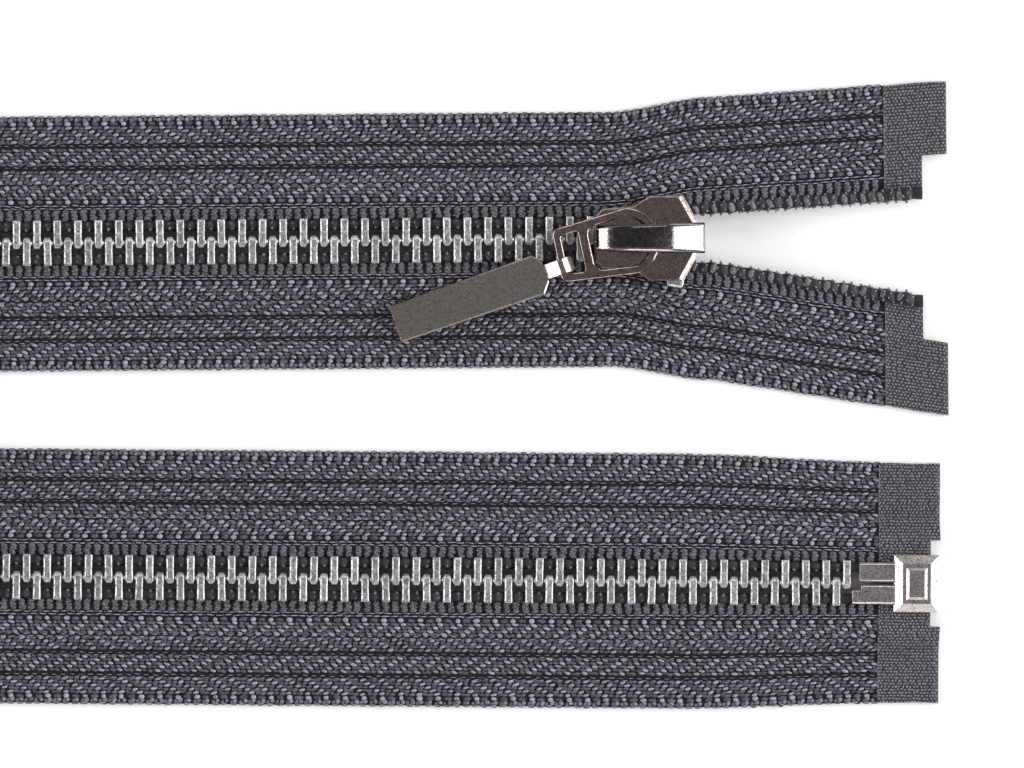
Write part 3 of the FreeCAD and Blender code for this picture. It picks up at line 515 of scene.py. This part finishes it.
# Kinds of float, each with the least detail that shows it, its shift along the tape, its place across it,
# half its length, half its width, its height, tilt and tone.
BAND_FLOATS = (
    (0, 0.0, 0.0, 0.42, 0.19, 0.18, 0.0, 0.90),
    (1, 0.92, 0.02, 0.38, 0.205, 0.09, 0.0, 0.27),
    (1, 1.52, 0.0, 0.32, 0.19, 0.08, 0.0, 0.21),
)
BAND_THREADS = (
    (2, 0.70, 0.05, 0.22, 0.034, 0.15, 0.75, 0.72),
    (2, 1.70, -0.05, 0.22, 0.034, 0.15, -0.75, 0.66),
)
BOLD_FLOATS = (
    (0, 0.4, 0.0, 0.36, 0.29, 0.20, 0.0, 1.0),
    (1, 0.4 + WEAVE, 0.0, 0.50, 0.26, 0.09, 0.0, 0.22),
    (1, 0.2 + WEAVE, 0.14, 0.16, 0.04, 0.16, 0.3, 0.75),
)
DIVIDER_FLOATS = (
    (1, 0.3, 0.15, 0.36, 0.055, 0.12, 0.05, 0.75),
    (1, 0.9, -0.15, 0.36, 0.055, 0.12, -0.05, 0.70),
)
CATCH_FLOATS = (
    (0, 0.0, 0.0, 0.43, 0.08, 0.20, 0.03, 1.05),
    (0, 0.58, 0.0, 0.15, 0.07, 0.13, 0.0, 0.55),
)
RIB_DOMES = (
    (0, RIB_PHASE, 2.98, 0.45, 0.31, 0.13, 0.3, 0.30),
    (0, RIB_PHASE, 3.42, 0.45, 0.31, 0.13, -0.2, 0.30),
    (0, RIB_PHASE, 3.86, 0.45, 0.31, 0.13, 0.3, 0.30),
)
SELVEDGE_FLOATS = (
    (1, 0.2, 15.42, 0.30, 0.29, 0.15, 0.9, 0.55),
    (1, 0.75, 15.52, 0.22, 0.28, 0.14, -0.7, 0.35),
    (1, 0.5, 15.84, 0.42, 0.16, 0.10, 0.0, 0.55),
    (1, 0.5, 15.82, 0.40, 0.18, -0.34, 0.0, 0.45),
)
# Bright fibres crossing a rib: shift along the tape, distance from the centre line, tilt.
RIB_THREADS = (
    (-0.2, 3.96, 0.6),
    (0.12, 3.74, -0.6),
    (-0.14, 3.5, 0.6),
    (0.16, 3.28, -0.6),
    (-0.1, 3.05, 0.6),
    (0.12, 2.86, -0.6),
)
# Bright fibres of the loops on the open cord: shift along it, turn round it, tilt.
LOOP_THREADS = ((0.0, -0.75, 0.9), (0.25, -0.3, -0.8), (-0.2, 0.2, 0.8), (0.15, 0.6, -0.9), (-0.3, -1.1, 0.5))


def weave(yarns, start, end, detail=2):
    """The floats of a stretch of tape, from ribs to selvedge. Detail 0 leaves out the small ones."""

    def along(pitch, phase):
        first = math.ceil((start - phase) / pitch)
        last = math.floor((end - phase) / pitch)
        return phase + pitch * np.arange(first, last + 1)

    def lay(floats, pitch, phase=0.0, u=0.0, tilt=0.0):
        for least, shift, aside, length, width, height, own_tilt, tone in floats:
            if detail >= least:
                s = along(pitch, phase + shift)
                yarns.add(s, u + aside, length, width, height, tilt + own_tilt, tone)

    for near, far, way in BANDS:
        for index, u in enumerate(np.arange(near, far + 0.01, ROW)):
            phase = way * STEP * index + BAND_PHASE * near
            lay(BAND_FLOATS, 2 * WEAVE, phase, u, LEAN * way)
            lay(BAND_THREADS, 2 * WEAVE, phase, u)
    for u in BOLD_ROWS:
        lay(BOLD_FLOATS, 2 * WEAVE, u=u)
    for u in DIVIDERS:
        lay(DIVIDER_FLOATS, WEAVE, u=u)
    for u in CATCH_LINES:
        lay(CATCH_FLOATS, WEAVE, u, u)
    lay(RIB_DOMES, WEAVE)
    if detail > 0:
        for shift, u, tilt in RIB_THREADS:
            yarns.add(along(WEAVE, RIB_PHASE) + shift, u, 0.19, 0.055, 0.25, tilt, 0.95, jitter=0.09)
    lay(SELVEDGE_FLOATS, WEAVE)


FINE_ROW, FINE_STEP, FINE_MARGIN = 0.40, 0.44, 0.25
FUSED_EDGE, FUSED_STEP = 0.12, 0.56


def plain_weave(yarns, film, inner_end, outer_end, notch):
    """Fine plain weave, pressed flat, where the film is fused on. Its cord side ends at the notch."""
    for index, u in enumerate(np.arange(2.95, CLOTH_FAR, FINE_ROW)):
        lo, hi = sorted((film, inner_end if u < notch else outer_end))
        s = np.arange(lo + FINE_MARGIN + 0.2 * (index % 2), hi - 0.1, FINE_STEP)
        yarns.add(s, u, 0.175, 0.12, 0.09, rng.normal(0, 0.5), 0.74)
    edge = film + FUSED_EDGE if outer_end > film else film - FUSED_EDGE
    across = np.arange(3.1, 15.6, FUSED_STEP)
    yarns.add(np.full(len(across), edge), across, 0.05, 0.20, 0.17, 0.0, 0.9, jitter=0.02)


# Yarns of the bead in a gap between teeth: shift along the cord, turn round it, half length, half width,
# height, tilt, tone, jitter.
BEADS = (
    (0.0, 0.0, 0.60, 0.95, 0.18, 0.0, 0.14, 0.06),
    (0.0, -0.35, 0.24, 0.22, 0.30, 0.0, 0.62, 0.08),
    (-0.2, 0.2, 0.26, 0.16, 0.28, 0.5, 0.34, 0.06),
)
LOOPS_START, LOOP_JITTER = 20.6, 0.12
CORE_TONE = 0.06


def cord(name, side, start, end, step=0.3, around=12):
    """The bead cord's core."""
    s = np.append(np.arange(start, end, step), end)
    angle = 2 * math.pi * np.arange(around) / around
    grid_s, grid_a = np.meshgrid(s, angle, indexing="ij")
    place = on_cord(side)
    radius = cord_radius(grid_s.ravel())
    points = place(grid_s.ravel(), grid_a.ravel() * radius, 0 * radius)
    quads = tube(len(s), around)[:, [0, 3, 2, 1]]
    caps = []
    for row, way in ((0, 1), (len(s) - 1, -1)):
        centre = len(points)
        points = np.concatenate([points, points[row * around:(row + 1) * around].mean(0)[None]])
        for j in range(around):
            k = (j + 1) % around
            caps.append((centre, row * around + j, row * around + k)[::way])
    caps = np.array(caps)
    if side == RIGHT:
        quads, caps = quads[:, ::-1], caps[:, ::-1]
    return new_object(name, points, caps, quads, cord_yarn, np.full(len(points), CORE_TONE))


def cord_wraps(name, side, start, end, gaps):
    """Yarns round the cord: a bead in every gap between teeth, and loops where the chain is open."""
    wraps = Yarns(on_cord(side), side == RIGHT)
    inner = gaps[(gaps > start + 1) & (gaps < end - 1)]
    for shift, *bead in BEADS:
        wraps.add(inner + shift, *bead)
    if end > 0:
        loops = np.arange(LOOPS_START, end - 0.8, WEAVE)
        wraps.add(loops[0::2], -0.15, 0.42, 0.80, 0.32, 0.3, 0.40, LOOP_JITTER)
        wraps.add(loops[1::2], 0.0, 0.58, 0.85, 0.30, -0.2, 0.13, LOOP_JITTER)
        for shift, turn, tilt in LOOP_THREADS:
            wraps.add(loops + shift, turn, 0.24, 0.08, 0.32, tilt, 0.9, LOOP_JITTER)
    return wraps.mesh(name, cord_yarn)


# ------------------------------------------------------------------ chain
def chain_table(step=0.25):
    """Stations, and the way along the chain's middle from the box to each of them."""
    s = np.arange(low(BOX_START), SPREAD_END, step)
    base, _, _, front = frames(s)
    points = base + front * CHAIN_Z
    run = np.concatenate([[0], np.cumsum(np.linalg.norm(np.diff(points, axis=0), axis=1))])
    return s, run


CHAIN_S, CHAIN_RUN = chain_table()


def teeth_stations(side):
    """Where one row's teeth stand; the other row is half a pitch on."""
    first = BOX_START - LAST_TOOTH + (0 if side == RIGHT else PITCH / 2)
    last = np.interp(LAST_TOOTH_TOP, CHAIN_S, CHAIN_RUN)
    return np.interp(np.arange(first, last + 0.3, PITCH), CHAIN_RUN, CHAIN_S)


# Tooth outline along u: (u, half width, half height, depth of the hollow on its face).
TOOTH = (
    (-0.73, 0.28, 0.62, 0.0),
    (-0.66, 0.37, 0.95, 0.0),
    (-0.42, 0.45, 1.2, 0.0),
    (-0.15, 0.465, 1.28, 0.0),
    (0.0, 0.465, 1.29, 0.03),
    (0.70, 0.455, 1.29, 0.035),
    (0.88, 0.43, 1.29, 0.0),
    (1.12, 0.43, 1.30, 0.0),
    (1.26, 0.45, 1.30, 0.04),
    (2.40, 0.465, 1.30, 0.04),
    (2.56, 0.465, 1.30, 0.0),
    (2.78, 0.45, 1.24, 0.0),
    (2.84, 0.40, 1.05, 0.0),
)
BEVEL_WIDE, BEVEL_HIGH, LIP = 0.095, 0.09, 0.08
# Tones across a tooth's section: its left rim, then its face, its right rim, and its underside. The left rim
# is painted lighter and the right rim darker, as the light falls from the left, and the underside is painted
# dark as shade.
LIT_LEFT_RIM, SHADED_RIGHT_RIM, SHADED_UNDERSIDE = [0.88, 0.95], [0.78, 0.62], [0.12] * 6
# The nub's tone is a painted glint, brighter than the rest of the tooth.
PLAIN_FACE, HOLLOW_FACE, NUB_GLINT = 0.92, 0.66, 1.4
NUB_BASE, NUB_HEIGHT, NUB_RADIUS = 0.42, 0.36, 0.33
NUB_Z, NUB_OVAL = 0.85, 1.3


def tooth_template():
    """Points, faces and tones of one tooth: x along the chain, u outwards, z to the front."""
    rows, tones = [], []
    for u, half, high, depth in TOOTH:
        inner = BEVEL_WIDE - half
        line = [(-half, high - BEVEL_HIGH), (inner, high), (inner + LIP, high - depth)]
        line += [(-x, z) for x, z in reversed(line)]
        line += [(x, -z) for x, z in reversed(line)]
        rows.append([(x, u, z) for x, z in line])
        face = PLAIN_FACE if depth == 0 else HOLLOW_FACE
        tones.append([*LIT_LEFT_RIM, face, face, *SHADED_RIGHT_RIM, *SHADED_UNDERSIDE])
    count = len(rows[0])
    points = np.array(rows).reshape(-1, 3)
    tris = []
    last = (len(rows) - 1) * count
    for j in range(1, count - 1):
        tris.append((0, j + 1, j))
        tris.append((last, last + j, last + j + 1))
    return points, np.array(tris), tube(len(rows), count), np.array(tones).ravel()


def nub_template(around=10, steps=4):
    """The nub on the tooth's head that meshes with the next tooth, painted bright as a glint."""
    points = []
    for i in range(steps + 1):
        tip = math.pi / 2 * i / steps
        for j in range(around):
            turn = 2 * math.pi * j / around
            radius = NUB_RADIUS * math.cos(tip) + 1e-4
            height = NUB_Z + NUB_OVAL * radius * math.sin(turn)
            points.append((NUB_BASE + NUB_HEIGHT * math.sin(tip), radius * math.cos(turn), height))
    return np.array(points), np.zeros((0, 3), int), tube(steps + 1, around), np.full(len(points), NUB_GLINT)


def teeth(name, side, stations):
    """One row of teeth, each with its own lean and tone."""
    parts = [tooth_template(), nub_template()]
    all_points, all_tris, all_quads, all_tones = [], [], [], []
    base, _, _, front = frames(stations)
    level = base + front * CHAIN_Z
    before, after = (frames(stations + d) for d in (-NUDGE, NUDGE))
    run = unit((after[0] + after[3] * CHAIN_Z) - (before[0] + before[3] * CHAIN_Z))
    front = unit(front - run * (front * run).sum(1)[:, None])
    left = np.cross(front, run)
    middle = level + left * (side * spread(stations))[:, None]
    slope = side * (spread(stations + 2 * NUDGE) - spread(stations - 2 * NUDGE)) / (4 * NUDGE)
    run = unit(run + left * slope[:, None])
    left = np.cross(front, run)
    total = 0
    for index in range(len(stations)):
        lean = rng.normal(0, 0.012)
        wear_and_painted_highlight = rng.uniform(0.78, 1.15)
        for points, tris, quads, tones in parts:
            x = points[:, 0] + lean * points[:, 1]
            placed = (
                middle[index]
                + run[index] * x[:, None]
                + left[index] * (side * points[:, 1])[:, None]
                + front[index] * points[:, 2][:, None]
            )
            flip = side == RIGHT
            all_points.append(placed)
            all_tris.append((tris[:, ::-1] if flip else tris) + total)
            all_quads.append((quads[:, ::-1] if flip else quads) + total)
            all_tones.append(tones * wear_and_painted_highlight)
            total += len(points)
    return new_object(
        name, np.concatenate(all_points), np.concatenate(all_tris), np.concatenate(all_quads), nickel,
        np.concatenate(all_tones), smooth_faces=False,
    )


# ------------------------------------------------------------------ metal pieces
CREASE = math.radians(34)  # sharpest turn that is still shaded smooth
SHARP = math.radians(24)  # edges with a sharper turn get a bevel
FLAT = math.radians(1.0)
MERGE, ON_PLANE = 2e-6, 5e-6  # tolerances in metres
ALIGNED = 0.999


def finish_copy(node, work, material, tone=None, smooth_faces=True):
    """Make the rebuilt mesh of a CAD node an object of its own that stands for the node."""
    mesh = bpy.data.meshes.new(f"{node}_finished")
    work.to_mesh(mesh)
    work.free()
    mesh.materials.append(material)
    obj = bpy.data.objects.new(mesh.name, mesh)
    bpy.context.scene.collection.objects.link(obj)
    for face in mesh.polygons:
        face.use_smooth = smooth_faces
    if smooth_faces:
        mesh.set_sharp_from_angle(angle=CREASE)
    if tone:
        attribute = mesh.attributes.new("shade", "FLOAT", "POINT")
        attribute.data.foreach_set("value", [tone(v.co) for v in mesh.vertices])
    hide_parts(node)
    return obj


def copied(node):
    """The mesh of a CAD node, in place and with its doubled points merged."""
    source = frame["nodes"][node]
    work = bmesh.new()
    work.from_mesh(source.data)
    work.transform(source.matrix_world)
    bmesh.ops.remove_doubles(work, verts=work.verts, dist=MERGE)
    return work


def refined(node, material, width, tone=None):
    """A CAD node with its sharp edges rounded; with no width it keeps its edges."""
    work = copied(node)
    if width:
        bmesh.ops.dissolve_limit(work, angle_limit=FLAT, verts=work.verts, edges=work.edges)
        bmesh.ops.recalc_face_normals(work, faces=work.faces)
        sharp = [e for e in work.edges if len(e.link_faces) == 2 and e.calc_face_angle(0) > SHARP]
        bmesh.ops.bevel(work, geom=sharp, offset=width * MM, offset_type="OFFSET", segments=2, profile=0.5,
                        affect="EDGES", clamp_overlap=True)
        bmesh.ops.triangulate(work, faces=[f for f in work.faces if len(f.verts) > 4])
    return finish_copy(node, work, material, tone, smooth_faces=bool(width or tone))


def rim_loops(work, up, level):
    """The outlines of the flat top of a plate, as chains of points with the metal on their left."""
    facing = [f for f in work.faces if f.normal.dot(up) > ALIGNED]
    top = {f for f in facing if abs(f.verts[0].co.dot(up) - level) < ON_PLANE}
    after = {}
    for face in top:
        for loop in face.loops:
            if sum(f in top for f in loop.edge.link_faces) == 1:
                after[loop.vert] = loop.link_loop_next.vert
    chains = []
    while after:
        vert, chain = next(iter(after)), []
        while vert in after:
            chain.append(vert.co.copy())
            vert = after.pop(vert)
        chains.append(chain)
    return chains


def rounded_plate(node, material, width, steps=5):
    """A flat CAD node rebuilt from its outlines, with half-round rims of the given width."""
    source = copied(node)
    up = Vector((0, 0, 0))
    for face in source.faces:
        if face.normal.z > 0.9:
            up += face.normal * face.calc_area()
    up.normalize()
    heights = [v.co.dot(up) for v in source.verts]
    level, half, soft = max(heights), (max(heights) - min(heights)) / 2, width * MM
    middle = level - half
    across = up.orthogonal().normalized()
    other = up.cross(across)
    turns = [math.pi / 2 * k / steps for k in range(steps + 1)]
    profile = [(soft * (1 - math.cos(t)), half - soft + soft * math.sin(t)) for t in turns]
    profile.append((soft * 1.15, half))
    profile = [(inset, -height) for inset, height in reversed(profile)] + profile
    work = bmesh.new()
    ends = {0: [], len(profile) - 1: []}
    for chain in rim_loops(source, up, level):
        flat = np.array([(p.dot(across), p.dot(other)) for p in chain])
        step = np.roll(flat, -1, 0) - flat
        step /= np.linalg.norm(step, axis=1, keepdims=True)
        normal = np.stack([-step[:, 1], step[:, 0]], 1)
        before = np.roll(normal, 1, 0)
        miter = (normal + before) / (1 + (normal * before).sum(1))[:, None]
        rings = []
        for inset, height in profile:
            ring = flat + miter * inset
            rings.append([work.verts.new(across * x + other * y + up * (middle + height)) for x, y in ring])
        for low_ring, high_ring in zip(rings, rings[1:]):
            for i in range(len(chain)):
                j = (i + 1) % len(chain)
                work.faces.new((low_ring[i], low_ring[j], high_ring[j], high_ring[i]))
        for row in ends:
            ends[row].append(rings[row])
    for rings in ends.values():
        verts = [v for ring in rings for v in ring]
        for a, b, c in tessellate_polygon([[v.co for v in ring] for ring in rings]):
            work.faces.new((verts[a], verts[b], verts[c]))
    bmesh.ops.recalc_face_normals(work, faces=work.faces)
    source.free()
    return finish_copy(node, work, material)


def body_of_node(node):
    for body, names in frame["record"]["behaviour"]["bodies"].items():
        if node in names:
            return body


def arm_point(arm, x):
    return tuple(arm_base(arm, [x])[0] * MM)


TURN_SPLIT = (low(-REACH) - REACH) / 2
BLEND_FROM, BLEND_TO = arm_point(1, OPENING_START), arm_point(1, OPENING_END)


def hold_front(obj):
    """Bake the placement of a piece on the upper arm into its mesh."""
    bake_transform(obj)


for name, side in SIDES:
    place, place_back = on_tape(side), on_tape_back(side)
    front_cloth = cloth(f"{name}_tape_front", side, -REACH, TOP_END, ground)
    back_cloth = cloth(f"{name}_tape_back", side, S_BACK_END, -REACH, ground)
    front = Yarns(place, side == RIGHT)
    weave(front, -REACH + 0.2, TOP_FILM - 0.1)
    plain_weave(front, TOP_FILM, TOP_INNER, TOP_END, NOTCH_TOP)
    front_yarn = front.mesh(f"{name}_yarns_front", yarn)
    turns = []
    for part, start, end in (("near", TURN_SPLIT, -REACH - 0.2), ("far", low(-REACH), TURN_SPLIT - 0.1)):
        turned = Yarns(place, side == RIGHT)
        weave(turned, start, end, detail=1)
        turns.append(turned.mesh(f"{name}_yarns_turn_{part}", yarn))
    inside = Yarns(place_back, side == LEFT)
    weave(inside, low(ROLLED), ROLLED, detail=0)
    inside_yarn = inside.mesh(f"{name}_yarns_inside", yarn)
    lower = Yarns(place, side == RIGHT)
    weave(lower, low(LOW_FILM - 0.1), low(-REACH) - 0.2)
    plain_weave(lower, low(LOW_FILM), low(LOW_INNER), low(LOW_END), NOTCH_LOW)
    lower_yarn = lower.mesh(f"{name}_yarns_lower", yarn)

    stations = teeth_stations(side)
    gaps = (stations[1:] + stations[:-1]) / 2
    cords = []
    for part, start, end in (("front", -REACH, TOP_INNER), ("back", low(CORD_END), -REACH)):
        cords.append(cord(f"{name}_cord_{part}", side, start, end))
        cords.append(cord_wraps(f"{name}_cord_wraps_{part}", side, start, end, gaps))

    front_teeth = teeth(f"{name}_teeth_front", side, stations[stations > -REACH])
    back_teeth = teeth(f"{name}_teeth_back", side, stations[stations <= -REACH])

    for piece in (front_cloth, front_yarn, cords[0], cords[1], front_teeth):
        hold_front(piece)
    for piece in (back_cloth, *turns, inside_yarn, lower_yarn, cords[2], cords[3], back_teeth):
        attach(piece, "chain_and_tapes")
    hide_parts(f"{name}_tape_upper", f"{name}_tape_top")
    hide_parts(f"{name}_tape_loop", f"{name}_tape_lower")
    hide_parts(f"{name}_cord_upper", f"{name}_cord_top")
    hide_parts(f"{name}_cord_loop", f"{name}_cord_lower")
    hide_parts(f"{name}_teeth_upper", f"{name}_teeth_top")
    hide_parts(f"{name}_teeth_loop", f"{name}_teeth_lower")


NEAR_EDGE = -1.1  # where the cap's rounded near edge begins, from its middle; from there outwards a painted reflection brightens the cap
PAINTED_DARK_START, PAINTED_DARK_END, PAINTED_DARK_FADE = 12.6, 19.4, 1.2  # stations of the arch's dark middle, a painted dark reflection


def cap_painted_reflection(point):
    """Tone of the cap's lacquer: painted reflections, bright at both ends of the arch and along its near
    edge, dark in its middle.
    """
    station = point.x / MM - ARM_X
    beside = point.y / MM - (ARM_Y + ARM_SPREAD + station * math.sin(TILT))
    # Painted highlights at both ends of the arch, with the painted dark reflection between them.
    wear_and_painted_highlight = smooth((PAINTED_DARK_START - station) / PAINTED_DARK_FADE) + smooth((station - PAINTED_DARK_END) / PAINTED_DARK_FADE)
    return float(0.20 + 1.3 * wear_and_painted_highlight + 1.2 * smooth((NEAR_EDGE - beside) / 0.25))


# Node, material, rounding of its edges, tone over its surface.
METAL = (
    ("slider_body", gunmetal, 0, None),
    ("slider_cap", lacquer, 0, cap_painted_reflection),
    ("pull_tab", brushed, 0, None),
    ("left_top_stop", steel, 0.08, None),
    ("right_top_stop", steel, 0.08, None),
    ("insertion_pin", pale, 0.16, None),
    ("box_pin", pale, 0.16, None),
    ("retainer_box", pale, 0, None),
)
finished = {node: refined(node, material, width, tone) for node, material, width, tone in METAL}
finished["pull_ring"] = rounded_plate("pull_ring", gunmetal, 0.27)
for node, piece in finished.items():
    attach(piece, body_of_node(node))

for node in ("lock_pawl", "lock_spring"):
    frame["nodes"][node].data.materials.clear()
    frame["nodes"][node].data.materials.append(steel)

film_material, film_tree, film_shader = nodes_of("end_film")
film_shader.inputs["Base Color"].default_value = (0.14, 0.14, 0.16, 1)
film_shader.inputs["Alpha"].default_value = 0.12
film_tree.links.new(ramp(film_tree, noise(film_tree, 2500, 2.0), 0.25, 0.4), film_shader.inputs["Roughness"])
for name, side in SIDES:
    films = (film_material, FILM_HIGH, FILM_LOW)
    top_film = cloth(f"{name}_film_top", side, TOP_FILM, TOP_END, *films)
    low_film = cloth(f"{name}_film_bottom", side, S_BACK_END, low(LOW_FILM), *films)
    hold_front(top_film)
    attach(low_film, "chain_and_tapes")
    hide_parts(f"{name}_top_film")
    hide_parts(f"{name}_bottom_film")

# ------------------------------------------------------------------ floor, lights, camera
floor_material, floor_tree, floor_shader = nodes_of("pale_floor")
floor_shader.inputs["Base Color"].default_value = (0.93, 0.93, 0.93, 1)
floor_shader.inputs["Roughness"].default_value = 0.9
bpy.ops.mesh.primitive_plane_add(size=6.0, location=(0, 0, -0.00005))
floor = bpy.context.object
floor.name = "floor"
floor.data.materials.append(floor_material)

world = bpy.data.worlds.new("studio")
bpy.context.scene.world = world
world.use_nodes = True
world.node_tree.nodes["Background"].inputs["Color"].default_value = (1, 1, 1, 1)
world.node_tree.nodes["Background"].inputs["Strength"].default_value = 0.25


def softbox(name, place, aim, width, height, power):
    """A large soft area light turned towards its aim."""
    light = bpy.data.lights.new(name, "AREA")
    light.shape = "RECTANGLE"
    light.size, light.size_y = width, height
    light.energy = power
    obj = bpy.data.objects.new(name, light)
    bpy.context.scene.collection.objects.link(obj)
    obj.location = place
    direction = obj.location - Vector(aim)
    obj.rotation_euler = direction.to_track_quat("Z", "Y").to_euler()


softbox("left_softbox", (-0.55, 0.0, 0.17), (0.05, 0, 0.17), 0.9, 0.34, 4.8)
softbox("right_softbox", (0.80, 0.0, 0.55), (0.05, 0, 0.55), 0.9, 1.1, 16)
softbox("back_softbox", (0.05, 0.8, 0.62), (0.05, 0, 0.1), 0.7, 0.5, 3)
softbox("near_softbox", (0.05, -0.8, 0.30), (0.05, 0, 0.1), 0.7, 0.4, 2)

camera_data = bpy.data.cameras.new("camera")
camera = bpy.data.objects.new("camera", camera_data)
bpy.context.scene.collection.objects.link(camera)
VIEW_WIDTH, VIEW_HEIGHT = 0.128, 0.9
camera_data.sensor_width = 36.0
camera_data.lens = camera_data.sensor_width * (VIEW_HEIGHT - CHAIN_Z * MM) / VIEW_WIDTH
camera_data.clip_end = 10.0
camera.location = (0.060, 0.0015, VIEW_HEIGHT)
camera.rotation_euler = (0, 0, 0)
bpy.context.scene.camera = camera
bpy.context.scene.view_settings.view_transform = "Standard"
